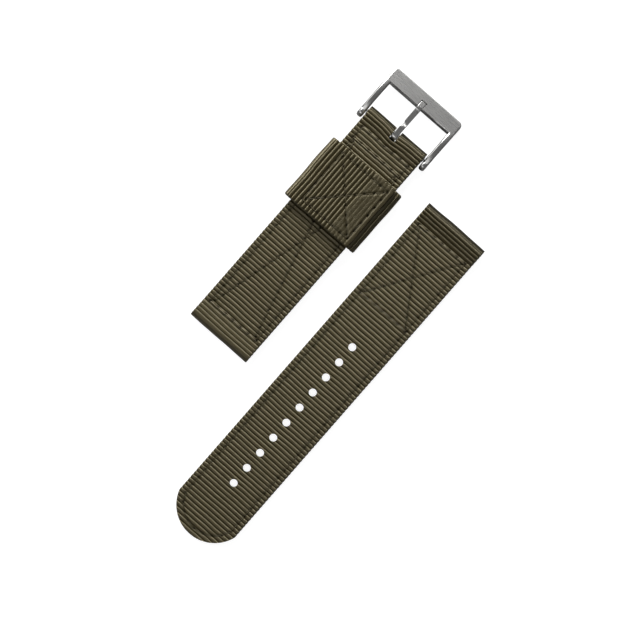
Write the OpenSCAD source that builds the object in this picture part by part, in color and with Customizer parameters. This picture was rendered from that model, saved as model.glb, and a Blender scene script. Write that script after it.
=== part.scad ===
// Two-piece nylon watch strap: a buckle piece with a sliding keeper and a pin
// buckle on a sprung bar, and a tip piece with a row of punched holes.
// X runs across the strap, Y along it towards the buckle, Z up from the table.

/* [Webbing] */
// Width of the webbing
strap_w = 22.1; // [18:0.1:26]
// Thickness of one layer over its ribs
web_t = 1.2; // [1:0.05:1.5]
// Distance from one cross rib to the next
rib_pitch = 1.3; // [1:0.05:2.2]
// Depth of the groove between two ribs
rib_depth = 0.22; // [0.1:0.02:0.28]
// Width of the parting line that shows between the two layers at each edge
parting_w = 0.12; // [0.06:0.02:0.2]
// Depth of that parting line
parting_depth = 0.6; // [0.2:0.1:1]

/* [Buckle piece] */
// Length from the fold at the buckle to the lug end
short_len = 82.9; // [70:0.1:110]
// Distance of the first row of stitches from the fold
fold_row = 6.7; // [6:0.1:9]
// Distance between the two rows of stitches at the fold
fold_row_gap = 4.2; // [3:0.1:6]
// Distance of the joint where the webbing's ends meet underneath, from the second row
butt_from_row = 2.4; // [1.5:0.1:5]
// Width of that joint
butt_w = 0.3; // [0.1:0.05:0.5]
// Room that the notch leaves at each side of the tang
notch_side_gap = 0.25; // [0.15:0.05:0.7]
// Room that the notch leaves behind the tang's curl
notch_room = 0.5; // [0.4:0.05:0.8]
// Room round the tang's curl in the lower layer, which the notch cuts less deep
notch_under_room = 0.15; // [0.1:0.05:0.4]

/* [Tip piece] */
// Length from the lug end to the tip
long_len = 122; // [112:0.1:150]
// Depth of the curve that ends the strap
tip_curve = 8.2; // [5:0.1:10]
// Distance of the second row of stitches from the first
lug_row_gap = 26.7; // [20:0.1:32]
// Number of holes for the tang
hole_count = 10; // [6:1:11]
// Distance between two holes
hole_pitch = 6; // [4:0.1:6.5]
// Diameter of a hole
hole_d = 2.4; // [1.8:0.1:3]
// Distance of the last hole from the tip
last_hole = 20.1; // [16:0.1:24]

/* [Lug ends] */
// Radius of the tunnel for the watch's spring bar
lug_bore_r = 0.95; // [0.8:0.05:1.2]
// Distance of the row of stitches behind the tunnel from the lug end
lug_row = 7; // [6:0.1:9]

/* [Stitching] */
// Distance from one stitch to the next
stitch_pitch = 3; // [2.4:0.1:4]
// Length of one stitch on the face
stitch_len = 2.3; // [1.4:0.1:2.35]
// Radius of the thread
thread_r = 0.26; // [0.15:0.01:0.3]
// Width of the furrow that a seam pulls into the webbing
furrow_w = 0.7; // [0.62:0.02:1]
// Depth of that furrow
furrow_depth = 0.32; // [0.3:0.01:0.45]
// Distance of the border seam from the edge
border_inset = 2.1; // [1.6:0.1:3]
// Distance of the crossed seam from the corners of its box
cross_gap = 0.8; // [0.7:0.05:2]

/* [Keeper] */
// Length of the keeper along the strap
keeper_len = 22.4; // [16:0.1:24]
// Room beside the strap, at each side inside the keeper
keeper_side_room = 1.4; // [1.15:0.05:3.75]
// Room above and below the strap inside the keeper
keeper_gap = 0.15; // [0.1:0.05:0.5]
// Distance of the keeper's middle from the fold, as it lies in the photo
keeper_at = 25.9; // [25:0.1:40]
// Outer radius of the keeper's bends
keeper_bend_r = 2; // [1.6:0.1:2.4]
// Distance of the outer layer's cut end from the keeper's right side
keeper_outer_end = 2.65; // [2.25:0.05:3.35]
// Distance of the inner layer's hidden end from the keeper's left side
keeper_inner_end = 3.65; // [3.05:0.05:4.05]
// Distance of the keeper's seam box from its two sides
keeper_box_side = 4.7; // [4.55:0.05:6.65]
// Distance of the seam box from the keeper's two edges
keeper_box_inset = 2.05; // [1.5:0.05:3]
// Sideways offset of the seam box
keeper_box_x = 0.65; // [0:0.05:0.7]

/* [Buckle frame] */
// Room between the webbing's edge and each of the frame's arms
frame_side_gap = 0.35; // [0.2:0.05:2.45]
// Width of one arm
arm_w = 1.9; // [1.6:0.1:2.6]
// Depth of the front bar along the strap
bar_depth = 5.2; // [4:0.05:6]
// Thickness of the frame
frame_t = 1.9; // [1.6:0.05:2.1]
// Downward tilt of the front bar
bar_tilt = 20.7; // [16:0.1:24]
// Distance of the front bar's outer edge from the webbing's fold
frame_reach = 13.7; // [12:0.1:18]
// Radius of the frame's outer corners, seen from above
corner_r = 1.55; // [1:0.05:2.2]
// Radius that rounds the frame's edges round its outside
outer_edge_r = 0.8; // [0.4:0.05:0.8]
// Radius that rounds its edges round the opening
edge_r = 0.3; // [0.15:0.05:0.5]
// Radius of the eye at each arm's end
eye_r = 1.75; // [1.5:0.05:1.9]
// Radius that rounds the eye's rims
eye_edge_r = 0.7; // [0.3:0.05:0.8]
// Distance of the eye's middle behind the bar
eye_back = 1.2; // [0.6:0.05:1.5]
// Room between the resting frame and the table
table_gap = 0.02; // [0:0.01:0.3]

/* [Tang] */
// Width of the tang
tang_w = 1.7; // [1.5:0.05:2]
// Thickness of the tang's strip
tang_t = 0.65; // [0.5:0.05:0.8]
// Upward slope of the tang over the fold
tang_lift = 5; // [0:0.5:8]
// Distance from the webbing's fold to where the tang steps down
tang_step_at = 1.1; // [0.8:0.1:2]
// Depth of that step
tang_step = 0.8; // [0.3:0.05:1]
// Length of that step
tang_step_len = 1.2; // [1.1:0.1:2]
// Length of the rise that ends the tang's level part, before the front bar
tang_rise_len = 1.2; // [1.1:0.1:2]
// Height of that rise
tang_rise = 0.2; // [0:0.05:0.4]
// Length over which each bend is rounded, at both its sides
tang_bend = 0.5; // [0.2:0.05:0.5]
// Length of the tang's end that lies in the front bar
tang_lap = 2.1; // [1.5:0.1:3]
// Room around the tang in the front bar's recess
recess_gap = 0.25; // [0.15:0.05:0.4]
// Room under the tang in that recess
recess_room = 0.06; // [0.04:0.01:0.2]
// Gap that the tang's curl leaves open
curl_gap = 0.5; // [0.2:0.1:1]

/* [Spring bar] */
// Radius of the bar's tube
tube_r = 0.9; // [0.75:0.05:1]
// Wall of the tube
tube_wall = 0.28; // [0.2:0.02:0.35]
// Gap between the tube's end and the frame's arm
tube_end_gap = 0.2; // [0.1:0.05:0.4]
// Radius of the pins at the bar's ends
pin_r = 0.4; // [0.3:0.02:0.42]
// Length of a pin that stands out of the tube
pin_out = 1.1; // [0.8:0.05:1.4]
// Length of a pin's head inside the tube
pin_head = 4; // [2:0.1:6]
// Length of the crimped neck at each end of the tube
neck_len = 0.4; // [0.3:0.05:0.8]
// Radius of the spring's wire
wire_r = 0.1; // [0.06:0.01:0.12]
// Number of the spring's turns
turns = 18; // [10:1:24]
// Running clearance of the turning and sliding metal parts
fit = 0.05; // [0.02:0.01:0.08]
// Running clearance of the bar in the webbing's fold
fold_fit = 0.08; // [0.04:0.01:0.1]

/* [Layout] */
// Gap between the two pieces as they lie side by side
pair_gap = 9.9; // [5:0.1:20]
// Distance of the tip piece's lug end below the buckle piece's fold
tip_drop = 10.5; // [0:0.1:30]

/* [Hidden] */
$fn = 64;

olive = [0.29, 0.26, 0.19];
thread_olive = [0.36, 0.33, 0.25];
steel = [0.55, 0.54, 0.53];

// Steps in half the rib's wave, along an eased fold, round an edge, in a bend and round the curl
rib_steps = 4;
ease_steps = 8;
edge_steps = 6;
bend_steps = 4;
curl_steps = 36;
// How far before a row of stitches the two layers have come together
ease_before_row = 0.6;
// Half height of the tunnel's slit where the layers part, as a share of its radius
slit_share = 0.35;
// A length that is longer than anything that it cuts
far = 400;

half_w = strap_w / 2;
border_x = half_w - border_inset;
furrow_floor = web_t - furrow_depth;

// Radii of the two kinds of fold and the height of the buckle piece's middle
fold_bore_r = tube_r + fold_fit;
fold_r = fold_bore_r + web_t;
lug_r = lug_bore_r + web_t;
short_mid = web_t + keeper_gap + web_t;

// Places along the buckle piece, from its fold
second_row = fold_row + fold_row_gap;
short_lug_row = short_len - lug_row;

// Shape of the tip, as one arc between the two edges
tip_r = (tip_curve * tip_curve + half_w * half_w) / (2 * tip_curve);
tip_mid = long_len - tip_r;
seam_r = tip_r - border_inset;
seam_turn = acos(border_x / seam_r);
long_second_row = lug_row + lug_row_gap;

// Keeper heights, from its underside
keeper_room = 2 * web_t + 2 * keeper_gap;
keeper_floor = web_t;
keeper_ceiling = keeper_floor + keeper_room;
keeper_top = keeper_ceiling + 2 * web_t;
keeper_half = half_w + keeper_side_room + web_t;
keeper_box_across = keeper_half - keeper_box_side;
keeper_box_along = keeper_len / 2 - keeper_box_inset;

// Buckle frame: the bar's axis, and the middle of the tilted front bar
pivot = [-fold_r, short_mid];
bar_half = bar_depth / 2 - outer_edge_r;
bar_rise = frame_t / 2 - outer_edge_r;
bar_mid = [
    frame_reach - bar_half * cos(bar_tilt) - bar_rise * sin(bar_tilt) - outer_edge_r,
    table_gap + bar_half * sin(bar_tilt) + bar_rise * cos(bar_tilt) + outer_edge_r
];

// The arms' arch, from the pivot to the front bar's inner side
bar_back = bar_mid - bar_depth / 2 * [cos(bar_tilt), -sin(bar_tilt)];
chord = bar_back - pivot;
chord_turn = bar_tilt + atan2(chord[1], chord[0]);
arch_r = norm(chord) / (2 * sin(chord_turn));
arch_mid = bar_back - arch_r * [sin(bar_tilt), cos(bar_tilt)];
pivot_slope = 2 * chord_turn - bar_tilt;
// How many degrees of that arch run on inside the front bar
arch_lap = 2;
frame_inner_w = strap_w + 2 * frame_side_gap;
frame_w = frame_inner_w + 2 * arm_w;

// Tang: the middle line of its strip, in its curl and in the recess
curl_r = tube_r + fit;
curl_mid_r = curl_r + tang_t / 2;
curl_outer_r = curl_r + tang_t;
tang_up = frame_t / 2 - tang_t / 2;
// How far before the front bar the tang bends down into its recess
recess_lead = 0.25;

// Spring bar, along X
tube_len = frame_inner_w - 2 * tube_end_gap;
tube_bore = tube_r - tube_wall;
head_face = tube_len / 2 - neck_len - fit;
spring_reach = head_face - pin_head;
coil_r = tube_bore - fit - wire_r;

// Layout: the origin is under the middle of the whole object
left_edge = -keeper_half;
right_edge = half_w + pair_gap + strap_w;
short_x = -(left_edge + right_edge) / 2;
long_x = short_x + strap_w + pair_gap;
fold_y = (tip_drop + long_len - frame_reach) / 2;
long_y = fold_y - tip_drop;

// Points along an arc
function arc(mid, r, from, to, n) =
    [for (i = [0:n]) let (a = from + (to - from) * i / n) mid + r * [cos(a), sin(a)]];

// Height between two levels, eased at both ends, for a share from 0 to 1
function eased(a, b, share) = a + (b - a) * (1 - cos(180 * share)) / 2;

// Outline of a folded end at y = 0, from the underside round to the top
function fold_end(r, rise, row) =
    let (stop = row - ease_before_row)
    concat(
        [for (i = [0:ease_steps - 1]) let (u = i / ease_steps)
            [-stop + (stop - r) * u, eased(-web_t, rise - r, u)]],
        arc([-r, rise], r, -90, 90, 16),
        [for (i = [1:ease_steps]) let (u = i / ease_steps)
            [-r - (stop - r) * u, eased(rise + r, web_t, u)]]
    );

// The same end turned to face the other way, at a given distance
function turned(points, at) = [for (p = points) [-at - p[0], -p[1]]];

// Running length at each point of a line
function run(p) =
    [for (i = 0, s = 0; i < len(p); s = s + (i + 1 < len(p) ? norm(p[i + 1] - p[i]) : 0), i = i + 1) s];
function column(s, p, k) = [for (i = [0:len(p) - 1]) [s[i], p[i][k]]];

// A line set out again with a rounded rib at every pitch, cut in from its right
function ribbed(p) =
    let (
        s = run(p),
        a = column(s, p, 0),
        b = column(s, p, 1),
        total = s[len(s) - 1],
        ribs = round(total / rib_pitch),
        step = total / (ribs * rib_steps),
        e = step / 3
    )
    [for (i = [0:ribs * rib_steps])
        let (
            u = min(max(i * step, e), total - e),
            here = [lookup(i * step, a), lookup(i * step, b)],
            ahead = [lookup(u + e, a) - lookup(u - e, a), lookup(u + e, b) - lookup(u - e, b)],
            out = [ahead[1], -ahead[0]] / norm(ahead),
            depth = rib_depth * (1 - abs(sin(180 * i / rib_steps)))
        )
        here - out * depth];

// Outline of the frame's metal out to a given distance, rounded there at both its edges
function rounded_side(w, r) =
    concat(
        arc([w - r, r - frame_t / 2], r, 270, 360, edge_steps),
        arc([w - r, frame_t / 2 - r], r, 0, 90, edge_steps)
    );

// Whole outline of the front bar or an arm, with its outer side on the right
function frame_outline(w) =
    concat(rounded_side(w / 2, outer_edge_r), [for (p = rounded_side(w / 2, edge_r)) -p]);

// Point on the front bar, along its tilted face and out from its middle
function on_bar(along, up) =
    bar_mid + along * [cos(bar_tilt), -sin(bar_tilt)] + up * [sin(bar_tilt), cos(bar_tilt)];

// Seams as lines between two points, with y counted from the end of each piece
function ways(x, y0, y1) = [for (s = [-1, 1]) [[s * x, -y0], [s * x, -y1]]];
function row(x, y) = [[[-x, -y], [x, -y]]];
function crossed(x, y0, y1) =
    [for (s = [-1, 1])
        [[s * (x - cross_gap), -y0 - cross_gap], [-s * (x - cross_gap), -y1 + cross_gap]]];

fold_rows = concat(row(border_x, fold_row), row(border_x, second_row));
short_border = concat(ways(border_x, fold_row, short_lug_row), row(border_x, short_lug_row));
short_cross = crossed(border_x, second_row, short_lug_row);
lug_rows = concat(row(border_x, lug_row), row(border_x, long_second_row));
long_border = ways(border_x, lug_row, tip_mid + seam_r * sin(seam_turn));
long_cross = crossed(border_x, lug_row, long_second_row);
keeper_box = concat(
    ways(keeper_box_across, -keeper_box_along, keeper_box_along),
    row(keeper_box_across, -keeper_box_along),
    row(keeper_box_across, keeper_box_along)
);
keeper_cross = crossed(keeper_box_across, -keeper_box_along, keeper_box_along);

// Side outline in Y and Z, drawn out across the strap
module across(w) {
    rotate([90, 0, 90])
        linear_extrude(w, center = true) children();
}

// Outline in X and Z, drawn out along the strap
module along(l) {
    rotate([90, 0, 0])
        linear_extrude(l, center = true) children();
}

// Tunnel through a folded end, with the slit where its two layers come together
module tunnel(bore_r, r, rise, row) {
    slit = slit_share * bore_r;
    translate([0, -r, rise])
        rotate([0, 90, 0])
            cylinder(r = bore_r, h = strap_w + 2, center = true);
    across(strap_w + 2)
        polygon([[-r, rise - slit], [-r, rise + slit], [ease_before_row - row, 0]]);
}

// Parting lines between the layers, at both edges
module parting(from, to) {
    for (s = [-1, 1])
        translate([s * half_w, -(from + to) / 2, 0])
            cube([2 * parting_depth, to - from, parting_w], center = true);
}

// Furrows of a seam, cut into the face from the furrow's floor upwards
module furrows(seam) {
    for (line = seam) {
        d = line[1] - line[0];
        translate([line[0][0], line[0][1], furrow_floor])
            rotate([0, 0, atan2(d[1], d[0])])
                translate([-furrow_w / 2, -furrow_w / 2, 0])
                    cube([norm(d) + furrow_w, furrow_w, 2 * furrow_depth]);
    }
}

// One stitch along Y, flat underneath and tapered where it dives into the webbing
module stitch() {
    l = min(stitch_len, stitch_pitch - 2 * thread_r);
    rotate([90, 0, 0])
        rotate_extrude(angle = 180, $fn = 16)
            polygon([
                [0, -l / 2], [0.55 * thread_r, -l / 2], [thread_r, thread_r - l / 2],
                [thread_r, l / 2 - thread_r], [0.55 * thread_r, l / 2], [0, l / 2]
            ]);
}

// Stitches of a seam, lying on the floor of its furrows
module stitches(seam) {
    for (line = seam) {
        d = line[1] - line[0];
        n = max(1, round(norm(d) / stitch_pitch));
        for (i = [0:n - 1]) {
            p = line[0] + d * (i + 0.5) / n;
            translate([p[0], p[1], furrow_floor])
                rotate([0, 0, atan2(d[1], d[0]) - 90])
                    stitch();
        }
    }
}

// Stitches and furrow round the curved tip
module tip_stitches() {
    sweep = 180 - 2 * seam_turn;
    n = round(sweep * PI / 180 * seam_r / stitch_pitch);
    for (i = [0:n - 1]) {
        a = -seam_turn - sweep * (i + 0.5) / n;
        translate([seam_r * cos(a), seam_r * sin(a) - tip_mid, furrow_floor])
            rotate([0, 0, a])
                stitch();
    }
}

module tip_furrow() {
    translate([0, -tip_mid, furrow_floor])
        rotate([0, 0, seam_turn - 180])
            rotate_extrude(angle = 180 - 2 * seam_turn)
                translate([seam_r - furrow_w / 2, 0])
                    square([furrow_w, 2 * furrow_depth]);
}

module on_both_faces() {
    children();
    mirror([0, 0, 1]) children();
}

module place_short() {
    translate([short_x, fold_y, short_mid]) children();
}

module place_long() {
    translate([long_x, long_y, web_t]) children();
}

module place_keeper() {
    translate([short_x, fold_y - keeper_at, 0]) children();
}

module place_bar() {
    translate([short_x, fold_y + pivot[0], pivot[1]])
        rotate([0, 90, 0]) children();
}

// Buckle piece: one strip of webbing, folded round the bar and round the tunnel
module buckle_piece_webbing() {
    near = fold_end(fold_r, 0, fold_row);
    loop = concat(near, turned(fold_end(lug_r, 0, lug_row), short_len), [near[0]]);
    notch_w = tang_w + 2 * notch_side_gap;
    notch = fold_r + curl_outer_r + notch_room;
    under_r = curl_outer_r + notch_under_room;
    notch_under = fold_r + sqrt(under_r * under_r - fold_bore_r * fold_bore_r);
    color(olive)
        place_short()
            difference() {
                across(strap_w) polygon(ribbed(loop));
                tunnel(fold_bore_r, fold_r, 0, fold_row);
                translate([0, -short_len, 0])
                    rotate([0, 0, 180]) tunnel(lug_bore_r, lug_r, 0, lug_row);
                translate([-notch_w / 2, -notch, 0])
                    cube([notch_w, notch + 1, fold_r + 1]);
                translate([-notch_w / 2, -notch_under, -fold_r - 1])
                    cube([notch_w, notch_under + 1, fold_r + 2]);
                translate([0, -fold_r, 0])
                    rotate([0, 90, 0])
                        cylinder(r = under_r, h = notch_w, center = true);
                parting(fold_row, short_lug_row);
                translate([-half_w - 1, -second_row - butt_from_row - butt_w, -web_t - 1])
                    cube([strap_w + 2, butt_w, web_t + 1 - parting_w]);
                on_both_faces() furrows(concat(fold_rows, short_border, short_cross));
            }
}

module fold_row_thread() {
    color(thread_olive) place_short() stitches(fold_rows);
}

module fold_row_bobbin_thread() {
    color(thread_olive) place_short() mirror([0, 0, 1]) stitches(fold_rows);
}

module buckle_piece_border_thread() {
    color(thread_olive) place_short() stitches(short_border);
}

module buckle_piece_border_bobbin_thread() {
    color(thread_olive) place_short() mirror([0, 0, 1]) stitches(short_border);
}

module buckle_piece_cross_thread() {
    color(thread_olive) place_short() stitches(short_cross);
}

module buckle_piece_cross_bobbin_thread() {
    color(thread_olive) place_short() mirror([0, 0, 1]) stitches(short_cross);
}

// Keeper: one strip rolled into a loop, its outer end lapped over its inner end
module keeper_webbing() {
    in_r = keeper_bend_r - web_t;
    side = keeper_half - keeper_bend_r;
    outer_end = keeper_half - keeper_outer_end;
    inner_end = keeper_inner_end - keeper_half;
    left_top = [-side, keeper_top - keeper_bend_r];
    right_top = [side, keeper_top - web_t - keeper_bend_r];
    left_foot = [-side, keeper_bend_r];
    right_foot = [side, keeper_bend_r];
    outer = concat(
        [[outer_end, keeper_top]],
        arc(left_top, keeper_bend_r, 90, 180, 8),
        arc(left_foot, keeper_bend_r, 180, 270, 8),
        arc(right_foot, keeper_bend_r, 270, 360, 8),
        arc(right_top, keeper_bend_r, 0, 90, 8),
        [[outer_end, keeper_top - web_t]]
    );
    inner = concat(
        [[inner_end, keeper_ceiling], [inner_end, keeper_ceiling + web_t]],
        arc(left_top, in_r, 90, 180, 6),
        arc(left_foot, in_r, 180, 270, 6),
        arc(right_foot, in_r, 270, 360, 6),
        arc(right_top, in_r, 0, 90, 6)
    );
    color(olive)
        place_keeper()
            difference() {
                along(keeper_len) polygon(ribbed(outer));
                along(keeper_len + 2) polygon(inner);
                translate([keeper_box_x, 0, keeper_top - web_t])
                    furrows(concat(keeper_box, keeper_cross));
                translate([keeper_box_x, 0, keeper_ceiling + web_t])
                    mirror([0, 0, 1]) furrows(concat(keeper_box, keeper_cross));
            }
}

module keeper_thread() {
    color(thread_olive)
        place_keeper()
            translate([keeper_box_x, 0, keeper_top - web_t])
                stitches(concat(keeper_box, keeper_cross));
}

module keeper_bobbin_thread() {
    color(thread_olive)
        place_keeper()
            translate([keeper_box_x, 0, keeper_ceiling + web_t])
                mirror([0, 0, 1]) stitches(concat(keeper_box, keeper_cross));
}

// Buckle frame: two arched arms with eyes for the bar, and a tilted front bar
module buckle_frame() {
    color(steel)
        translate([short_x, fold_y, 0])
            difference() {
                union() {
                    front_bar();
                    for (s = [0, 1])
                        mirror([s, 0, 0])
                            translate([(frame_inner_w + arm_w) / 2, 0, 0]) arm();
                }
                tang_recess();
                translate([0, pivot[0], pivot[1]])
                    rotate([0, 90, 0])
                        cylinder(r = pin_r + fit, h = frame_w + 2, center = true);
            }
}

// Front bar, with its round edge led round both outer corners
module front_bar() {
    side = frame_w / 2 - corner_r;
    straight = bar_depth - corner_r;
    end = concat([[0, frame_t / 2], [0, -frame_t / 2]], rounded_side(corner_r, outer_edge_r));
    translate([0, bar_mid[0], bar_mid[1]])
        rotate([-bar_tilt, 0, 0]) {
            across(2 * side) polygon(frame_outline(bar_depth));
            for (s = [0, 1])
                mirror([s, 0, 0])
                    translate([side, straight - bar_depth / 2, 0]) {
                        rotate_extrude(angle = 90) polygon(end);
                        rotate([90, 0, 0])
                            linear_extrude(straight) polygon(end);
                    }
        }
}

// Arm on the right, arched up from the front bar's inner side to its eye
module arm() {
    start = 90 - bar_tilt - arch_lap;
    sweep = 90 + pivot_slope + asin(eye_back / arch_r) - start;
    eye = pivot - eye_back * [cos(pivot_slope), sin(pivot_slope)];
    translate([0, arch_mid[0], arch_mid[1]])
        rotate([90, 0, 90])
            rotate([0, 0, start])
                rotate_extrude(angle = sweep, $fn = 96)
                    translate([arch_r, 0])
                        polygon([for (p = frame_outline(arm_w)) [p[1], p[0]]]);
    translate([0, eye[0], eye[1]])
        rotate([0, 90, 0]) eye_button();
}

// Round end of an arm, with rounded rims
module eye_button() {
    mid = [eye_r - eye_edge_r, arm_w / 2 - eye_edge_r];
    rotate_extrude()
        polygon(concat(
            [[0, -arm_w / 2]],
            arc([mid[0], -mid[1]], eye_edge_r, 270, 360, edge_steps),
            arc(mid, eye_edge_r, 0, 90, edge_steps),
            [[0, arm_w / 2]]
        ));
}

// Recess in the front bar that the tang's end drops into
module tang_recess() {
    w = tang_w + 2 * recess_gap;
    floor_up = frame_t / 2 - tang_t - recess_room;
    end = tang_lap + recess_gap - bar_depth / 2;
    across(w)
        polygon([
            on_bar(-bar_depth, floor_up), on_bar(end, floor_up),
            on_bar(end, frame_t), on_bar(-bar_depth, frame_t)
        ]);
}

// Tang: a flat strip curled round the bar, stepped down and bent into its recess
module buckle_tang() {
    open = 2 * asin(curl_gap / 2 / curl_mid_r);
    curl = arc(pivot, curl_mid_r, 360 - open, 90 + tang_lift, curl_steps);
    curl_top = curl[curl_steps];
    step_top = curl_top[1] + (tang_step_at - curl_top[0]) * tan(tang_lift);
    at_bar = on_bar(-bar_depth / 2 - recess_lead, tang_up);
    line = bent([
        curl_top,
        [tang_step_at, step_top],
        [tang_step_at + tang_step_len, step_top - tang_step],
        at_bar - [tang_rise_len, tang_rise],
        at_bar,
        on_bar(tang_lap - bar_depth / 2, tang_up)
    ], tang_bend);
    color(steel)
        translate([short_x, fold_y, 0])
            across(tang_w)
                polygon(strip(concat(curl, [for (i = [1:len(line) - 1]) line[i]]), tang_t));
}

// A line with each of its bends rounded over a length at both sides
function bent(p, reach) = [
    p[0],
    for (i = [1:len(p) - 2], k = [0:bend_steps])
        let (
            u = k / bend_steps,
            before = p[i] + reach * (p[i - 1] - p[i]) / norm(p[i - 1] - p[i]),
            after = p[i] + reach * (p[i + 1] - p[i]) / norm(p[i + 1] - p[i])
        )
        (1 - u) * (1 - u) * before + 2 * u * (1 - u) * p[i] + u * u * after,
    p[len(p) - 1]
];

// Outline of a bent strip of even thickness along a line
function strip(p, t) = concat(
    [for (i = [0:len(p) - 1]) p[i] + t / 2 * mitre(p, i)],
    [for (i = [len(p) - 1:-1:0]) p[i] - t / 2 * mitre(p, i)]
);
function side_of(p, i) = let (d = p[i + 1] - p[i]) [-d[1], d[0]] / norm(d);
function mitre(p, i) =
    let (
        before = side_of(p, max(i - 1, 0)),
        after = side_of(p, min(i, len(p) - 2)),
        both = before + after
    )
    both * 2 / (both * both);

// Spring bar: a tube with crimped necks, a spring, and a pin at each end
module bar_tube() {
    l = tube_len / 2;
    neck = pin_r + fit;
    color(steel)
        place_bar()
            rotate_extrude()
                polygon([
                    [neck, -l], [tube_r, -l], [tube_r, l], [neck, l],
                    [neck, l - neck_len], [tube_bore, l - neck_len],
                    [tube_bore, neck_len - l], [neck, neck_len - l]
                ]);
}

module bar_pin() {
    tip = tube_len / 2 + pin_out;
    color(steel)
        place_bar()
            rotate_extrude()
                polygon([
                    [0, head_face - pin_head], [tube_bore - fit, head_face - pin_head],
                    [tube_bore - fit, head_face], [pin_r, head_face],
                    [pin_r, tip - pin_r / 2], [pin_r / 2, tip], [0, tip]
                ]);
}

module bar_pin_right() {
    bar_pin();
}

module bar_pin_left() {
    translate([2 * short_x, 0, 0])
        mirror([1, 0, 0]) bar_pin();
}

// Spring: one tube of wire on a helix, closed at both ends
module bar_spring() {
    sides = 6;
    per_turn = 8;
    rings = turns * per_turn;
    reach = spring_reach - wire_r - fit;
    ring_points = [for (i = [0:rings], j = [0:sides - 1])
        let (
            turn = 360 * i / per_turn,
            around = 360 * j / sides,
            r = coil_r + wire_r * cos(around)
        )
        [r * cos(turn), r * sin(turn), reach * (2 * i / rings - 1) + wire_r * sin(around)]];
    last = rings * sides;
    faces = concat(
        [for (i = [0:rings - 1], j = [0:sides - 1]) let (k = (j + 1) % sides)
            [i * sides + j, (i + 1) * sides + j, i * sides + k]],
        [for (i = [0:rings - 1], j = [0:sides - 1]) let (k = (j + 1) % sides)
            [i * sides + k, (i + 1) * sides + j, (i + 1) * sides + k]],
        [for (j = [1:sides - 2]) [0, j, j + 1]],
        [for (j = [1:sides - 2]) [last, last + j + 1, last + j]]
    );
    color(steel) place_bar() polyhedron(ring_points, faces);
}

// Tip piece: one strip folded double at the tunnel, cut round and sealed at the tip
module tip_piece_webbing() {
    lug_rise = lug_r - web_t;
    side = concat([[-long_len, -web_t]], fold_end(lug_r, lug_rise, lug_row), [[-long_len, web_t]]);
    color(olive)
        place_long()
            difference() {
                intersection() {
                    across(strap_w) polygon(ribbed(side));
                    union() {
                        translate([-half_w, tip_curve - long_len, -far / 2])
                            cube([strap_w, long_len, far]);
                        translate([0, -tip_mid, 0])
                            cylinder(r = tip_r, h = far, center = true, $fn = 128);
                    }
                }
                tunnel(lug_bore_r, lug_r, lug_rise, lug_row);
                parting(lug_row, long_len - tip_curve);
                for (i = [0:hole_count - 1])
                    translate([0, last_hole + i * hole_pitch - long_len, 0])
                        cylinder(d = hole_d, h = 4 * web_t, center = true);
                on_both_faces() {
                    furrows(concat(lug_rows, long_border, long_cross));
                    tip_furrow();
                }
            }
}

module lug_row_thread() {
    color(thread_olive) place_long() stitches(lug_rows);
}

module lug_row_bobbin_thread() {
    color(thread_olive) place_long() mirror([0, 0, 1]) stitches(lug_rows);
}

module tip_piece_border_thread() {
    color(thread_olive)
        place_long() {
            stitches(long_border);
            tip_stitches();
        }
}

module tip_piece_border_bobbin_thread() {
    color(thread_olive)
        place_long()
            mirror([0, 0, 1]) {
                stitches(long_border);
                tip_stitches();
            }
}

module tip_piece_cross_thread() {
    color(thread_olive) place_long() stitches(long_cross);
}

module tip_piece_cross_bobbin_thread() {
    color(thread_olive) place_long() mirror([0, 0, 1]) stitches(long_cross);
}

buckle_piece_webbing();
fold_row_thread();
fold_row_bobbin_thread();
buckle_piece_border_thread();
buckle_piece_border_bobbin_thread();
buckle_piece_cross_thread();
buckle_piece_cross_bobbin_thread();
keeper_webbing();
keeper_thread();
keeper_bobbin_thread();
buckle_frame();
buckle_tang();
bar_tube();
bar_spring();
bar_pin_left();
bar_pin_right();
tip_piece_webbing();
lug_row_thread();
lug_row_bobbin_thread();
tip_piece_border_thread();
tip_piece_border_bobbin_thread();
tip_piece_cross_thread();
tip_piece_cross_bobbin_thread();
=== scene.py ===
import math
import bpy
import numpy as np
from mathutils import Matrix, Vector


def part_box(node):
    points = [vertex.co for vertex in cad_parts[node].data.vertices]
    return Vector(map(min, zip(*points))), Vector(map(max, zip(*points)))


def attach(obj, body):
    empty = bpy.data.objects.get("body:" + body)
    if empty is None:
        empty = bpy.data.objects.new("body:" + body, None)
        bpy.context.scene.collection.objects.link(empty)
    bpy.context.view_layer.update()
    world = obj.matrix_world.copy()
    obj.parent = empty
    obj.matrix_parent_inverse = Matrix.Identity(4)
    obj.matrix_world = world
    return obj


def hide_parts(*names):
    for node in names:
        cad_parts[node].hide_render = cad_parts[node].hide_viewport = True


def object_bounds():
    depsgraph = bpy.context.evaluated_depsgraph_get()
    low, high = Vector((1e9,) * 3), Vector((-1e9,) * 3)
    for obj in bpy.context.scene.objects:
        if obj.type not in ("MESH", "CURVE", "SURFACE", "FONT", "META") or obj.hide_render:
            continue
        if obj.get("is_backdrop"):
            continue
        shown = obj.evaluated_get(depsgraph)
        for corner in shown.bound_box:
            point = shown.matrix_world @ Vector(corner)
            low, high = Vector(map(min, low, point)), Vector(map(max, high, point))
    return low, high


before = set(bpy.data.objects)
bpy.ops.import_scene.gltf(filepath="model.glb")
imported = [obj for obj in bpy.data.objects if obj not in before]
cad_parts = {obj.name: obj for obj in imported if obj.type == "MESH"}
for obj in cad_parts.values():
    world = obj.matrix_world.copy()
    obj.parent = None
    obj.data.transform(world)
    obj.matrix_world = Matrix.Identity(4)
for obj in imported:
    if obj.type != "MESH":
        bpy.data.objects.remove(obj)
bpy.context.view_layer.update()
bpy.context.scene.view_settings.view_transform = "Standard"
MM = 0.001


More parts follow.
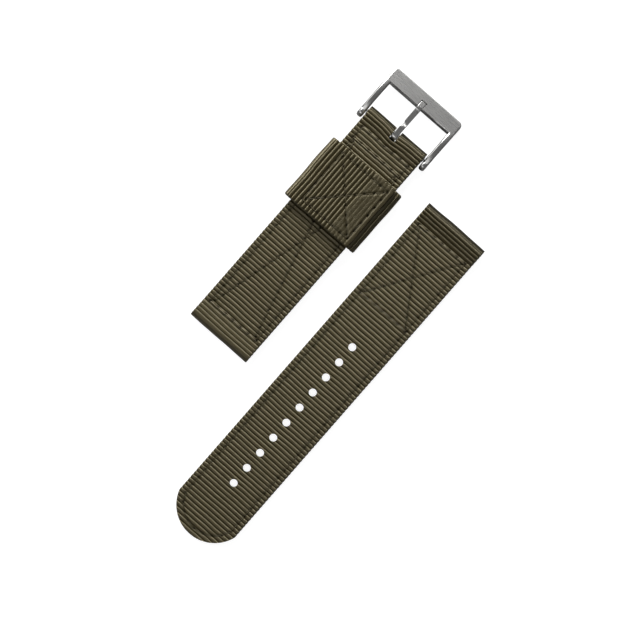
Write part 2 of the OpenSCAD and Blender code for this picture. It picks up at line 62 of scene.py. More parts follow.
# The table: a pale sheet under the two pieces, seen by the camera as plain white
# and still darkened a little where the pieces shade it.
TABLE_SIZE, TABLE_DROP = 4, 0.05 * MM
TABLE_GREY, TABLE_GLOW = 0.3, 0.93


def start_from(add, **settings):
    """Adds a primitive, lamp or camera with nothing else selected, and returns it."""
    bpy.ops.object.select_all(action="DESELECT")
    add(**settings)
    return bpy.context.object


table = start_from(
    bpy.ops.mesh.primitive_plane_add, size=TABLE_SIZE, location=(0, 0, -TABLE_DROP)
)
table.name = "table"
table_look = bpy.data.materials.new("table")
table_look.use_nodes = True
nodes, links = table_look.node_tree.nodes, table_look.node_tree.links
nodes.clear()
sheet_out = nodes.new("ShaderNodeOutputMaterial")
sheet_sum = nodes.new("ShaderNodeAddShader")
sheet_diffuse = nodes.new("ShaderNodeBsdfDiffuse")
sheet_diffuse.inputs["Color"].default_value = (TABLE_GREY, TABLE_GREY, TABLE_GREY, 1)
sheet_glow = nodes.new("ShaderNodeEmission")
sheet_glow.inputs["Color"].default_value = (1, 1, 1, 1)
sheet_seen = nodes.new("ShaderNodeLightPath")
sheet_either = nodes.new("ShaderNodeMath")
sheet_either.operation = "MAXIMUM"
sheet_strength = nodes.new("ShaderNodeMath")
sheet_strength.operation = "MULTIPLY"
sheet_strength.inputs[1].default_value = TABLE_GLOW
links.new(sheet_seen.outputs["Is Camera Ray"], sheet_either.inputs[0])
links.new(sheet_seen.outputs["Is Transmission Ray"], sheet_either.inputs[1])
links.new(sheet_either.outputs[0], sheet_strength.inputs[0])
links.new(sheet_strength.outputs[0], sheet_glow.inputs["Strength"])
links.new(sheet_diffuse.outputs[0], sheet_sum.inputs[0])
links.new(sheet_glow.outputs[0], sheet_sum.inputs[1])
links.new(sheet_sum.outputs[0], sheet_out.inputs["Surface"])
table.data.materials.append(table_look)
table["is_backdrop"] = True


# The light: a soft lamp beyond the top of the picture that brightens one flank of every
# rib, a weaker one from the left for the keeper's ribs, two dim ones that the steel
# mirrors, and a dim room all round.
ROOM_LEVEL = 0.15
LAMP_DISTANCE = 0.9
TURN = math.radians(41.14)
UP = Vector((-math.sin(TURN), math.cos(TURN), 0))
room = bpy.data.worlds.new("room")
bpy.context.scene.world = room
room.use_nodes = True
room.node_tree.nodes["Background"].inputs["Color"].default_value = (1, 1, 1, 1)
room.node_tree.nodes["Background"].inputs["Strength"].default_value = ROOM_LEVEL


def soft_lamp(name, towards, elevation, size, level):
    """A square lamp on one side of the object, aimed at its middle.

    At level 1 it lights a sheet that faces it so that its colour renders as written.
    """
    lamp = start_from(bpy.ops.object.light_add, type="AREA")
    lamp.name = name
    lift = math.radians(elevation)
    back = towards.normalized() * math.cos(lift) + Vector((0, 0, math.sin(lift)))
    lamp.location = back * LAMP_DISTANCE
    lamp.rotation_euler = back.to_track_quat("Z", "Y").to_euler()
    lamp.data.shape = "SQUARE"
    lamp.data.size = size
    lamp.data.energy = level * math.pi**2 * LAMP_DISTANCE**2


soft_lamp("top_lamp", UP, 27, 0.5, 1.62)
soft_lamp("left_lamp", Vector((-1, 0, 0)), 36, 0.6, 0.3)
soft_lamp("near_lamp", Vector((-0.25, -1, 0)), 56, 0.35, 0.08)
soft_lamp("far_lamp", Vector((0, 1, 0)), 19, 0.25, 0.06)


# The camera: straight above the table, turned as the two pieces are in the photo. It
# sees a square of the table VIEW_SIZE wide.
VIEW_X, VIEW_Y, VIEW_HEIGHT = 4.65 * MM, 0.8 * MM, 0.7
VIEW_SIZE, SENSOR = 0.1922, 36
camera = start_from(
    bpy.ops.object.camera_add, location=(VIEW_X, VIEW_Y, VIEW_HEIGHT), rotation=(0, 0, TURN)
)
camera.data.sensor_width = SENSOR
camera.data.lens = SENSOR * VIEW_HEIGHT / VIEW_SIZE
bpy.context.scene.camera = camera


# Buckle piece: one strip of ribbed nylon webbing, woven of fine lengthwise yarns over
# thick cross cords, folded round the buckle's bar and round the tunnel for the watch's
# spring bar, with its two ends meeting underneath.
LAYER = 1.2 * MM
RIB_PITCH = 1.3 * MM
RIB_HEIGHT = 0.38 * MM
FIBRE_GAP = 0.02 * MM
SAME, NEAR = 1e-7, 1e-6

# One rib from the side: share of its pitch, and share of its height below the crest
RIB_SHAPE = (
    (0.0, 1.0), (0.04, 0.62), (0.08, 0.4), (0.16, 0.22), (0.24, 0.07), (0.3, 0.0),
    (0.4, 0.05), (0.54, 0.15), (0.69, 0.29), (0.84, 0.48), (0.94, 0.72),
)

# The rounded long edge, in millimetres: how far in from it, and how far down
EDGE_ROUND = ((0.0, 0.42), (0.12, 0.17), (0.3, 0.05), (0.55, 0.0))
EDGE_REACH = 0.101 * MM
DIP_PULL, UNDER_PULL = 0.1 * MM, 0.12 * MM
COLUMN = 0.46 * MM


def pick(obj, test, kind="VERT"):
    """Selects what passes the test in edit mode, and nothing else."""
    bpy.ops.mesh.select_mode(type=kind)
    bpy.ops.mesh.select_all(action="DESELECT")
    bpy.ops.object.mode_set(mode="OBJECT")
    mesh = obj.data
    items = {"VERT": mesh.vertices, "EDGE": mesh.edges, "FACE": mesh.polygons}[kind]
    for item in items:
        if test(item):
            item.select = True
    bpy.ops.object.mode_set(mode="EDIT")


def choose(obj):
    """Makes an object the only one selected, and the active one."""
    bpy.ops.object.select_all(action="DESELECT")
    obj.select_set(True)
    bpy.context.view_layer.objects.active = obj


def apply_all(obj):
    """Applies an object's modifiers in their order."""
    choose(obj)
    for modifier in list(obj.modifiers):
        bpy.ops.object.modifier_apply(modifier=modifier.name)


def drop(obj):
    """Removes a tool or guide that has done its work."""
    bpy.data.objects.remove(obj, do_unlink=True)


def points_of(obj):
    """A mesh's points, one row each."""
    flat = np.empty(len(obj.data.vertices) * 3)
    obj.data.vertices.foreach_get("co", flat)
    return flat.reshape(-1, 3)


def woven_strip(name, ribs, pitch, width, turned=False):
    """A flat strip of webbing along X, its ribbed face up along Y and its width along Z.

    One rib is shaped from a block and repeated; turned, its steep flank is the other one.
    """
    half = width / 2
    shape = RIB_SHAPE
    if turned:
        shape = ((0.0, 1.0), *((1 - share, depth) for share, depth in reversed(RIB_SHAPE[1:])))
    strip = start_from(
        bpy.ops.mesh.primitive_cube_add, size=1, location=(pitch / 2, -LAYER / 2, 0)
    )
    strip.name = name
    strip.scale = (pitch, LAYER - 2 * FIBRE_GAP, width)
    bpy.ops.object.transform_apply()
    bpy.ops.object.mode_set(mode="EDIT")
    for share, _ in shape[1:]:
        bpy.ops.mesh.select_all(action="SELECT")
        bpy.ops.mesh.bisect(plane_co=(share * pitch, 0, 0), plane_no=(1, 0, 0))
    inner = half - EDGE_ROUND[-1][0] * MM
    count = round(2 * inner / COLUMN)
    places = [inner * (2 * i / count - 1) for i in range(count + 1)]
    places += [s * (half - inset * MM) for s in (-1, 1) for inset, _ in EDGE_ROUND[1:-1]]
    for place in places:
        bpy.ops.mesh.select_all(action="SELECT")
        bpy.ops.mesh.bisect(plane_co=(0, 0, place), plane_no=(0, 0, 1))
    pick(strip, lambda f: abs(f.normal.x) > 0.9, "FACE")
    bpy.ops.mesh.delete(type="FACE")
    back = -LAYER + FIBRE_GAP

    def hidden_column(edge):
        a, b = (strip.data.vertices[i].co for i in edge.vertices)
        return max(a.y, b.y) < back + SAME and abs(a.z - b.z) < SAME and abs(a.z) < half - SAME

    pick(strip, hidden_column, "EDGE")
    bpy.ops.mesh.dissolve_edges(use_verts=True)
    for share, depth in (*shape, (1.0, 1.0)):
        pick(strip, lambda v: v.co.y > back + SAME and abs(v.co.x - share * pitch) < SAME)
        bpy.ops.transform.translate(value=(0, -depth * RIB_HEIGHT - FIBRE_GAP, 0))
        narrow = 1 - DIP_PULL * depth / half
        bpy.ops.transform.resize(value=(1, 1, narrow), center_override=(0, 0, 0))
    for inset, fall in EDGE_ROUND[:-1]:
        pick(
            strip,
            lambda v: v.co.y > back + SAME and 0 <= half - abs(v.co.z) - inset * MM < EDGE_REACH,
        )
        bpy.ops.transform.translate(value=(0, -fall * MM, 0))
    pick(strip, lambda v: v.co.y < back + SAME)
    bpy.ops.transform.resize(value=(1, 1, 1 - UNDER_PULL / half), center_override=(0, 0, 0))
    bpy.ops.object.mode_set(mode="OBJECT")
    repeat = strip.modifiers.new("ribs", "ARRAY")
    repeat.count = ribs
    repeat.use_relative_offset = False
    repeat.use_constant_offset = True
    repeat.constant_offset_displace = (pitch, 0, 0)
    repeat.use_merge_vertices = True
    repeat.merge_threshold = NEAR
    apply_all(strip)
    bpy.ops.object.mode_set(mode="EDIT")
    for end in (0, ribs * pitch):
        pick(strip, lambda v: abs(v.co.x - end) < NEAR)
        bpy.ops.mesh.edge_face_add()
    bpy.ops.mesh.select_all(action="SELECT")
    bpy.ops.mesh.normals_make_consistent(inside=False)
    bpy.ops.object.mode_set(mode="OBJECT")
    cloth_map(strip, pitch)
    return strip


def cloth_map(strip, pitch):
    """The weave's own map: across in millimetres, along in ribs."""
    mesh = strip.data
    weave = mesh.uv_layers[0] if mesh.uv_layers else mesh.uv_layers.new(name="weave")
    weave.name = "weave"
    co = points_of(strip)
    corner = np.empty(len(mesh.loops), dtype=np.int32)
    mesh.loops.foreach_get("vertex_index", corner)
    place = np.stack([co[corner, 2] / MM, co[corner, 0] / pitch], axis=1)
    weave.data.foreach_set("uv", place.ravel())


WEIGHT_STEPS = 40


def push(obj, name, amount, axis, weight):
    """Moves points along an axis by amount times their weight, from 0 to 1."""
    group = obj.vertex_groups.new(name=name)
    steps = np.round(np.clip(weight, 0, 1) * WEIGHT_STEPS).astype(int)
    for step in range(1, WEIGHT_STEPS + 1):
        chosen = np.nonzero(steps == step)[0]
        if len(chosen):
            group.add(chosen.tolist(), step / WEIGHT_STEPS, "REPLACE")
    move = obj.modifiers.new(name, "DISPLACE")
    move.direction = axis
    move.vertex_group = name
    move.mid_level = 0
    move.strength = amount
    apply_all(obj)
    obj.vertex_groups.clear()


def sway(obj, name, axis, strength, size):
    """The small unevenness of a woven strip, from a cloud pattern of that size."""
    cloud = bpy.data.textures.new(name, "CLOUDS")
    cloud.noise_scale = size
    cloud.noise_depth = 1
    move = obj.modifiers.new(name, "DISPLACE")
    move.texture = cloud
    move.texture_coords = "LOCAL"
    move.direction = axis
    move.mid_level = 0.5
    move.strength = strength
    apply_all(obj)


def running_length(points):
    """Length of a route up to each of its points."""
    steps = [0.0]
    for a, b in zip(points, points[1:]):
        steps.append(steps[-1] + math.dist(a, b))
    return steps


def mark(obj, name, level):
    """Keeps a level at each point as an attribute, which the finish reads."""
    mask = obj.data.attributes.new(name, "FLOAT", "POINT")
    mask.data.foreach_set("value", level)


FOLD_EASE, RIBBED_SHARE = 1.0 * MM, 0.55


def flatten_folds(strip, bends):
    """Where the webbing is bent sharply its ribs are pulled nearly flat, its yarns duller
    and its colour darker by painted shade.

    A bend is where it starts and ends, how flat its ribs get, and how dull and shaded its yarns.
    """
    co = points_of(strip)
    weight, dull = np.zeros(len(co)), np.zeros(len(co))
    for start, end, flatter, painted_shade_and_duller in bends:
        inside = np.clip((co[:, 0] - start) / FOLD_EASE, 0, 1)
        inside = inside * np.clip((end - co[:, 0]) / FOLD_EASE, 0, 1)
        weight = np.maximum(weight, flatter * inside)
        dull = np.maximum(dull, painted_shade_and_duller * inside)
    below_crest = np.clip((-co[:, 1] - FIBRE_GAP) / RIB_HEIGHT, 0, 1)
    ribs_only = below_crest * (co[:, 1] > -LAYER * RIBBED_SHARE)
    push(strip, "pulled_flat", RIB_HEIGHT, "Y", weight * ribs_only)
    # Painted shade: this mark darkens the cloth's colour over the spans it names, and dulls its
    # gloss there.
    mark(strip, "fold_shade_and_dull", dull)


def fold_along(strip, route, place):
    """Lays the strip along a route in a side view, and sets it in place."""
    shape = bpy.data.curves.new("route", "CURVE")
    shape.dimensions = "2D"
    spline = shape.splines.new("POLY")
    spline.points.add(len(route) - 1)
    for point, (a, b) in zip(spline.points, route):
        point.co = (a, b, 0, 1)
    guide = bpy.data.objects.new("route", shape)
    bpy.context.collection.objects.link(guide)
    bend = strip.modifiers.new("fold", "CURVE")
    bend.object = guide
    bend.deform_axis = "POS_X"
    apply_all(strip)
    drop(guide)
    strip.matrix_world = place
    bpy.ops.object.transform_apply()


def arc(middle, radius, start, end, steps):
    """Points of an arc in a side view, angles in degrees."""
    turns = [math.radians(start + (end - start) * i / steps) for i in range(steps + 1)]
    return [(middle[0] + radius * math.cos(t), middle[1] + radius * math.sin(t)) for t in turns]


FLANK_STEPS, END_STEPS = 12, 36
END_MIDDLE = FLANK_STEPS + END_STEPS // 2
ROW_GAP = 0.6 * MM
STRAIGHT_SHARE, BOWED_SHARE = 0.7, 0.15


def folded_end(radius, rise, row):
    """Route over a folded end at 0: the top layer, round the end, the layer underneath."""
    stop = row - ROW_GAP
    share = [i / FLANK_STEPS for i in range(FLANK_STEPS)]
    ease = [STRAIGHT_SHARE * u + BOWED_SHARE * (1 - math.cos(math.pi * u)) for u in share]
    top = [
        (-stop + (stop - radius) * u, LAYER + (rise + radius - LAYER) * e)
        for u, e in zip(share, ease)
    ]
    under = [
        (-stop + (stop - radius) * u, -LAYER + (rise - radius + LAYER) * e)
        for u, e in zip(share, ease)
    ]
    return top + arc((-radius, rise), radius, 90, -90, END_STEPS) + under[::-1]


def near_lines(co, lines, reach):
    """How near each point is to a seam: 1 on its line, falling to 0."""
    best = np.full(len(co), np.inf)
    for a, b in lines:
        a, b = np.array(a), np.array(b)
        d = b - a
        t = np.clip(((co[:, :2] - a) @ d) / (d @ d), 0, 1)
        best = np.minimum(best, np.linalg.norm(co[:, :2] - (a + t[:, None] * d), axis=1))
    return np.exp(-((best / reach) ** 2))


STITCH_PITCH = 3 * MM


def stitches_in(a, b):
    """How many stitches a line of a seam takes."""
    return max(1, round((b - a).length / STITCH_PITCH))


def near_holes(co, lines, reach):
    """How near each point is to a hole of the needle: 1 in it, falling to 0."""
    holes = []
    for a, b in lines:
        a, b = Vector(a), Vector(b)
        count = stitches_in(a, b)
        holes += [tuple(a + (b - a) * i / count) for i in range(count + 1)]
    return near_lines(co, [(h, (h[0] + 1e-9, h[1])) for h in holes], reach)


FURROW_REACH, ROW_HOLE_REACH, SEAM_HOLE_REACH = 0.24 * MM, 0.5 * MM, 0.34 * MM
FURROW_DEPTH, HOLE_DEPTH = 0.23 * MM, 0.45 * MM
FACE_EASE = 0.12 * MM


def press_seams(obj, rows, seams, middle):
    """Sinks the stitching into both faces of a doubled strip.

    A seam across the ribs pulls a furrow and leaves shallow dents at the needle's holes;
    a row along a rib leaves deeper dents only. The cloth is marked there, for painted shade
    in the furrows and dents and a duller gloss.
    """
    co = points_of(obj)
    furrow = near_lines(co, seams, FURROW_REACH)
    row_hole = near_holes(co, rows, ROW_HOLE_REACH)
    seam_hole = near_holes(co, seams, SEAM_HOLE_REACH)
    hole = np.maximum(row_hole, 0.5 * seam_hole)
    for name, side in (("top", 1), ("under", -1)):
        outside = np.clip(((co[:, 2] - middle) * side - LAYER * 0.4) / FACE_EASE, 0, 1)
        push(obj, "furrow_" + name, -side * FURROW_DEPTH, "Z", furrow * outside)
        push(obj, "hole_" + name, -side * HOLE_DEPTH, "Z", hole * outside)
    # Painted shade: this mark darkens the cloth's colour in the furrows and needle holes, and
    # dulls its gloss there.
    mark(obj, "seam_shade_and_dull", np.clip(0.8 * furrow + hole, 0, 1))


low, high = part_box("buckle_piece_webbing")
STRAP = high[0] - low[0]
HALF = STRAP / 2
short_x, fold_y, short_end = (low[0] + high[0]) / 2, high[1], low[1]
short_length = fold_y - short_end
short_mid = 2.55 * MM
FOLD_R, LUG_R = 2.18 * MM, 2.15 * MM
FOLD_ROW, SECOND_ROW, LUG_ROW = 6.7 * MM, 10.9 * MM, 7.0 * MM
BORDER_INSET = 2.1 * MM
BORDER = HALF - BORDER_INSET
BUTT = SECOND_ROW + 2.4 * MM
BUTT_GAP = 0.3 * MM
CROSS_GAP = 0.8 * MM
LUG_BEND, BAR_BEND = 3.6 * MM, 2.9 * MM

near_end = folded_end(FOLD_R, 0, FOLD_ROW)
far_end = [(-short_length - a, -b) for a, b in folded_end(LUG_R, 0, LUG_ROW)]
route = [(-BUTT - BUTT_GAP, -LAYER)] + far_end + near_end + [(-BUTT, -LAYER)]
run = running_length(route)
ribs = round(run[-1] / RIB_PITCH)
buckle_webbing = woven_strip("folded_webbing_buckle_piece", ribs, run[-1] / ribs, STRAP, True)
far_mid = run[1 + END_MIDDLE]
near_mid = run[1 + len(far_end) + END_MIDDLE]
# The fold round the bar gets painted shade on its front band; the lug end is only flattened.
flatten_folds(
    buckle_webbing,
    [
        (far_mid - LUG_BEND, far_mid + LUG_BEND, 0.88, 0.0),
        (near_mid - BAR_BEND, near_mid + BAR_BEND, 0.9, 0.65),
    ],
)
STAND = Matrix(((0, 0, 1, 0), (1, 0, 0, 0), (0, 1, 0, 0), (0, 0, 0, 1)))
fold_along(buckle_webbing, route, Matrix.Translation((short_x, fold_y, short_mid)) @ STAND)

# The tang's curl pulls the first ribs back, and no cord of the weave lies quite straight
TANG_PULL, PULL_WIDTH, PULL_LENGTH, PULL_EASE = 0.45 * MM, 3.2 * MM, 9.5 * MM, 4.5 * MM
CORD_SWAY, SWAY_SIZE, CORD_LIFT, LIFT_SIZE = 0.34 * MM, 9 * MM, 0.1 * MM, 3 * MM
co = points_of(buckle_webbing)
beside = np.exp(-(((co[:, 0] - short_x) / PULL_WIDTH) ** 2))
behind = np.clip((co[:, 1] - fold_y + PULL_LENGTH) / PULL_EASE, 0, 1) * (co[:, 2] > short_mid)
push(buckle_webbing, "pulled_back_by_the_tang", -TANG_PULL, "Y", beside * behind)
sway(buckle_webbing, "cord_sway", "Y", CORD_SWAY, SWAY_SIZE)
sway(buckle_webbing, "cord_lift", "Z", CORD_LIFT, LIFT_SIZE)


def seam_row(y, half, origin):
    """One line of stitches across the strap."""
    return [((origin[0] - half, origin[1] - y), (origin[0] + half, origin[1] - y))]


def seam_sides(half, y0, y1, origin):
    """Two lines along the strap's edges."""
    return [
        ((origin[0] + s * half, origin[1] - y0), (origin[0] + s * half, origin[1] - y1))
        for s in (-1, 1)
    ]


def seam_cross(half, y0, y1, origin):
    """Two crossed lines that end just short of the corners of a box."""
    half -= CROSS_GAP
    return [
        (
            (origin[0] + s * half, origin[1] - y0 - CROSS_GAP),
            (origin[0] - s * half, origin[1] - y1 + CROSS_GAP),
        )
        for s in (-1, 1)
    ]


short_at = (short_x, fold_y)
short_lug = short_length - LUG_ROW
fold_rows = seam_row(FOLD_ROW, BORDER, short_at) + seam_row(SECOND_ROW, BORDER, short_at)
short_sides = seam_sides(BORDER, FOLD_ROW, short_lug, short_at)
short_cross = seam_cross(BORDER, SECOND_ROW, short_lug, short_at)
short_row = seam_row(short_lug, BORDER, short_at)
press_seams(buckle_webbing, fold_rows + short_row, short_sides + short_cross, short_mid)


def socket(group, name, kind, way, value=None):
    """A socket of a node group, with its value where it has one."""
    made = group.interface.new_socket(name=name, in_out=way, socket_type=kind)
    if value is not None:
        made.default_value = value


def figure(tree, operation, a, b=None, c=None, clamp=False):
    """A Math node on numbers or sockets."""
    node = tree.nodes.new("ShaderNodeMath")
    node.operation = operation
    node.use_clamp = clamp
    for slot, value in zip(node.inputs, (a, b, c)):
        if value is None:
            continue
        if isinstance(value, (int, float)):
            slot.default_value = value
        else:
            tree.links.new(value, slot)
    return node.outputs[0]


def blend_colours(tree, share, a, b, mode="MIX"):
    """A Mix node on colours or sockets."""
    node = tree.nodes.new("ShaderNodeMix")
    node.data_type = "RGBA"
    node.blend_type = mode
    node.clamp_factor = True
    for slot, value in ((node.inputs[0], share), (node.inputs[6], a), (node.inputs[7], b)):
        if isinstance(value, (int, float)):
            slot.default_value = value
        elif isinstance(value, tuple):
            slot.default_value = (*value, 1)
        else:
            tree.links.new(value, slot)
    return node.outputs[2]


def patches(tree, vector, scale, detail=2):
    """A noise of that scale on the given coordinates."""
    node = tree.nodes.new("ShaderNodeTexNoise")
    node.inputs["Scale"].default_value = scale
    node.inputs["Detail"].default_value = detail
    tree.links.new(vector, node.inputs["Vector"])
    return node.outputs[0]


def new_look(name):
    """A new material, its node tree and its shader."""
    look = bpy.data.materials.new(name)
    look.use_nodes = True
    return look, look.node_tree, look.node_tree.nodes["Principled BSDF"]


def raised(tree, shader, height, distance, strength=1.0):
    """Lets a pattern raise the surface a little."""
    bump = tree.nodes.new("ShaderNodeBump")
    bump.inputs["Strength"].default_value = strength
    bump.inputs["Distance"].default_value = distance
    tree.links.new(height, bump.inputs["Height"])
    tree.links.new(bump.outputs[0], shader.inputs["Normal"])


# The weave itself: yarns side by side over each rib, every second rib shifted by half a
# yarn, each yarn a little lighter or darker than the next. Scales are per metre.
YARNS_PER_MM = 3.6
WANDER_SCALE, FIBRE_SCALE, BROAD_SCALE = 500, 6000, 160
WANDER, FIBRE_HEIGHT = 1.2, 0.35
weave = bpy.data.node_groups.new("weave", "ShaderNodeTree")
socket(weave, "Across", "NodeSocketFloat", "INPUT", 0.0)
socket(weave, "Along", "NodeSocketFloat", "INPUT", 0.0)
socket(weave, "Place", "NodeSocketVector", "INPUT")
socket(weave, "Yarns", "NodeSocketFloat", "INPUT", YARNS_PER_MM)
for socket_name in ("Crest", "Yarn", "Tone", "Height"):
    socket(weave, socket_name, "NodeSocketFloat", "OUTPUT")
given = weave.nodes.new("NodeGroupInput")
result = weave.nodes.new("NodeGroupOutput")
rib_share = figure(weave, "FRACT", given.outputs["Along"])
rib_number = figure(weave, "FLOOR", given.outputs["Along"])
rib_turn = figure(weave, "MULTIPLY", rib_share, 2 * math.pi)
crest = figure(weave, "MULTIPLY_ADD", figure(weave, "COSINE", rib_turn), -0.5, 0.5)
wander = patches(weave, given.outputs["Place"], WANDER_SCALE, 1)
wander = figure(weave, "MULTIPLY", wander, WANDER)
offset = figure(weave, "MULTIPLY", figure(weave, "MODULO", rib_number, 2), 0.5)
across = figure(weave, "MULTIPLY", given.outputs["Across"], given.outputs["Yarns"])
across = figure(weave, "ADD", figure(weave, "ADD", across, offset), wander)
yarn_turn = figure(weave, "MULTIPLY", across, math.pi)
yarn = figure(weave, "ABSOLUTE", figure(weave, "SINE", yarn_turn))
number = weave.nodes.new("ShaderNodeCombineXYZ")
weave.links.new(figure(weave, "FLOOR", across), number.inputs[0])
weave.links.new(rib_number, number.inputs[1])
lot = weave.nodes.new("ShaderNodeTexWhiteNoise")
lot.noise_dimensions = "2D"
weave.links.new(number.outputs[0], lot.inputs["Vector"])
fibre = patches(weave, given.outputs["Place"], FIBRE_SCALE)
broad = patches(weave, given.outputs["Place"], BROAD_SCALE)
half_lot = figure(weave, "MULTIPLY", lot.outputs["Value"], 0.5)
tone = figure(weave, "ADD", half_lot, figure(weave, "MULTIPLY", broad, 0.5))
height = figure(weave, "ADD", yarn, figure(weave, "MULTIPLY", fibre, FIBRE_HEIGHT))
for name, value in (("Crest", crest), ("Yarn", yarn), ("Tone", tone), ("Height", height)):
    weave.links.new(value, result.inputs[name])


def webbing_look(name, dark, light):
    """Olive nylon: shiny along its yarns, duller where thread pulls it in and over sharp folds.
    Painted shade darkens its colour there, between its yarns and in its grooves.
    """
    look, tree, shader = new_look(name)
    place = tree.nodes.new("ShaderNodeTexCoord")
    cloth = tree.nodes.new("ShaderNodeUVMap")
    cloth.uv_map = "weave"
    part = tree.nodes.new("ShaderNodeSeparateXYZ")
    tree.links.new(cloth.outputs[0], part.inputs[0])
    woven = tree.nodes.new("ShaderNodeGroup")
    woven.node_tree = weave
    tree.links.new(part.outputs[0], woven.inputs["Across"])
    tree.links.new(part.outputs[1], woven.inputs["Along"])
    tree.links.new(place.outputs["Object"], woven.inputs["Place"])
    woven.inputs["Yarns"].default_value = YARNS_PER_MM
    seam_shade_and_dull = tree.nodes.new("ShaderNodeAttribute")
    seam_shade_and_dull.attribute_name = "seam_shade_and_dull"
    fold_shade_and_dull = tree.nodes.new("ShaderNodeAttribute")
    fold_shade_and_dull.attribute_name = "fold_shade_and_dull"
    # Painted shade: the olive is mixed a little darker towards the groove between ribs and
    # lighter towards the crest.
    crest = figure(tree, "POWER", woven.outputs["Crest"], 2.5)
    colour = blend_colours(tree, crest, dark, light)
    # Painted shade between yarns: the colour is darker where one yarn meets the next. The tone
    # after it differs at random.
    painted_shade_and_tone = figure(tree, "MULTIPLY_ADD", woven.outputs["Yarn"], 0.35, 0.65)
    tone = figure(tree, "MULTIPLY_ADD", woven.outputs["Tone"], 0.5, 0.75)
    # Painted shade in the seams' furrows and needle holes: colour darkened and gloss dulled
    # there.
    left_by_seam_shade = figure(tree, "MULTIPLY_ADD", seam_shade_and_dull.outputs["Fac"], -0.85, 1.0)
    # Painted shade over the folds and the keeper's far side: colour darkened and gloss dulled
    # there.
    left_by_fold_shade = figure(tree, "MULTIPLY_ADD", fold_shade_and_dull.outputs["Fac"], -0.8, 1.0)
    left = figure(tree, "MULTIPLY", left_by_seam_shade, left_by_fold_shade)
    painted_shade_and_tone = figure(tree, "MULTIPLY", figure(tree, "MULTIPLY", painted_shade_and_tone, tone), left)
    grey = tree.nodes.new("ShaderNodeCombineColor")
    for k in range(3):
        tree.links.new(painted_shade_and_tone, grey.inputs[k])
    colour = blend_colours(tree, 1.0, colour, grey.outputs[0], "MULTIPLY")
    tree.links.new(colour, shader.inputs["Base Color"])
    rough = figure(tree, "MULTIPLY_ADD", woven.outputs["Tone"], 0.14, 0.33)
    tree.links.new(rough, shader.inputs["Roughness"])
    tree.links.new(left, shader.inputs["Specular IOR Level"])
    for socket_name, value in (
        ("IOR", 1.6),
        ("Anisotropic", 0.85),
        ("Specular Tint", (1, 0.9, 0.62, 1)),
        ("Sheen Weight", 0.03),
        ("Sheen Roughness", 0.4),
    ):
        shader.inputs[socket_name].default_value = value
    fibres = tree.nodes.new("ShaderNodeTangent")
    fibres.direction_type = "UV_MAP"
    fibres.uv_map = "weave"
    tree.links.new(fibres.outputs[0], shader.inputs["Tangent"])
    raised(tree, shader, woven.outputs["Height"], 0.04 * MM, 0.8)
    return look


# Olive in the grooves and on the crests; the small difference between them is painted shade in
# the grooves.
OLIVE_SHADED_GROOVE = (0.028, 0.0208, 0.0056)
OLIVE_LIT_CREST = (0.028, 0.0212, 0.0062)
webbing = webbing_look("olive_webbing", OLIVE_SHADED_GROOVE, OLIVE_LIT_CREST)

# The webbing is hot cut: its cut edges are melted smooth, darker and a little shiny.
SEAL_DARK, SEAL_LIGHT = (0.03, 0.025, 0.014), (0.075, 0.065, 0.04)
SEAL_SCALE, SEAL_LUMP = 1500, 0.08 * MM
sealed, seal_tree, seal_shader = new_look("sealed_edge")
seal_place = seal_tree.nodes.new("ShaderNodeTexCoord")
seal_lumps = patches(seal_tree, seal_place.outputs["Object"], SEAL_SCALE)
seal_colour = blend_colours(seal_tree, seal_lumps, SEAL_DARK, SEAL_LIGHT)
seal_rough = figure(seal_tree, "MULTIPLY_ADD", seal_lumps, 0.3, 0.35)
seal_tree.links.new(seal_colour, seal_shader.inputs["Base Color"])
seal_tree.links.new(seal_rough, seal_shader.inputs["Roughness"])
raised(seal_tree, seal_shader, seal_lumps, SEAL_LUMP)


def combine(obj, tool, operation="DIFFERENCE", finish=None):
    """Cuts or joins with a tool, which is used up; a finish is that of the cut faces."""
    blade = obj.modifiers.new("combine", "BOOLEAN")
    blade.operation = operation
    blade.object = tool
    blade.solver = "EXACT"
    if finish:
        tool.data.materials.append(finish)
        blade.material_mode = "TRANSFER"
    apply_all(obj)
    drop(tool)


def dress(obj, look, body, slot, *nodes, angle=55):
    """Gives a finished piece its finish where it has none, smooth shading and its body, and
    hides the CAD nodes that it stands for.
    """
    if not obj.data.materials:
        obj.data.materials.append(look)
    choose(obj)
    bpy.ops.object.shade_smooth_by_angle(angle=math.radians(angle))
    apply_all(obj)
    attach(obj, body)
    if nodes:
        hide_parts(*nodes)


# The fold is cut away round the tang: a notch that is deeper in the top layer, and a
# round hollow for the tang's curl. A notch is its depth, bottom and top in millimetres.
buckle_webbing.data.materials.append(webbing)
NOTCH_W, NOTCH_CORNER, CURL_ROOM_R = 2.2 * MM, 0.5 * MM, 1.75 * MM
for back, bottom, top in ((4.25, 0, 3), (3.63, -3, 0.5)):
    notch = start_from(
        bpy.ops.mesh.primitive_cube_add,
        size=1,
        location=(short_x, fold_y - (back - 1) / 2 * MM, short_mid + (bottom + top) / 2 * MM),
    )
    notch.scale = (NOTCH_W, (back + 1) * MM, (top - bottom) * MM)
    bpy.ops.object.transform_apply()
    rear = fold_y - back * MM
    bpy.ops.object.mode_set(mode="EDIT")
    pick(
        notch,
        lambda e: all(notch.data.vertices[i].co.y < rear + NEAR for i in e.vertices)
        and len({round(notch.data.vertices[i].co.x, 6) for i in e.vertices}) == 1,
        "EDGE",
    )
    bpy.ops.mesh.bevel(offset=NOTCH_CORNER, segments=4)
    bpy.ops.object.mode_set(mode="OBJECT")
    combine(buckle_webbing, notch, finish=sealed)
ACROSS = (0, math.pi / 2, 0)
curl_room = start_from(
    bpy.ops.mesh.primitive_cylinder_add,
    vertices=48,
    radius=CURL_ROOM_R,
    depth=NOTCH_W,
    location=(short_x, fold_y - FOLD_R, short_mid),
    rotation=ACROSS,
)
bpy.ops.object.transform_apply()
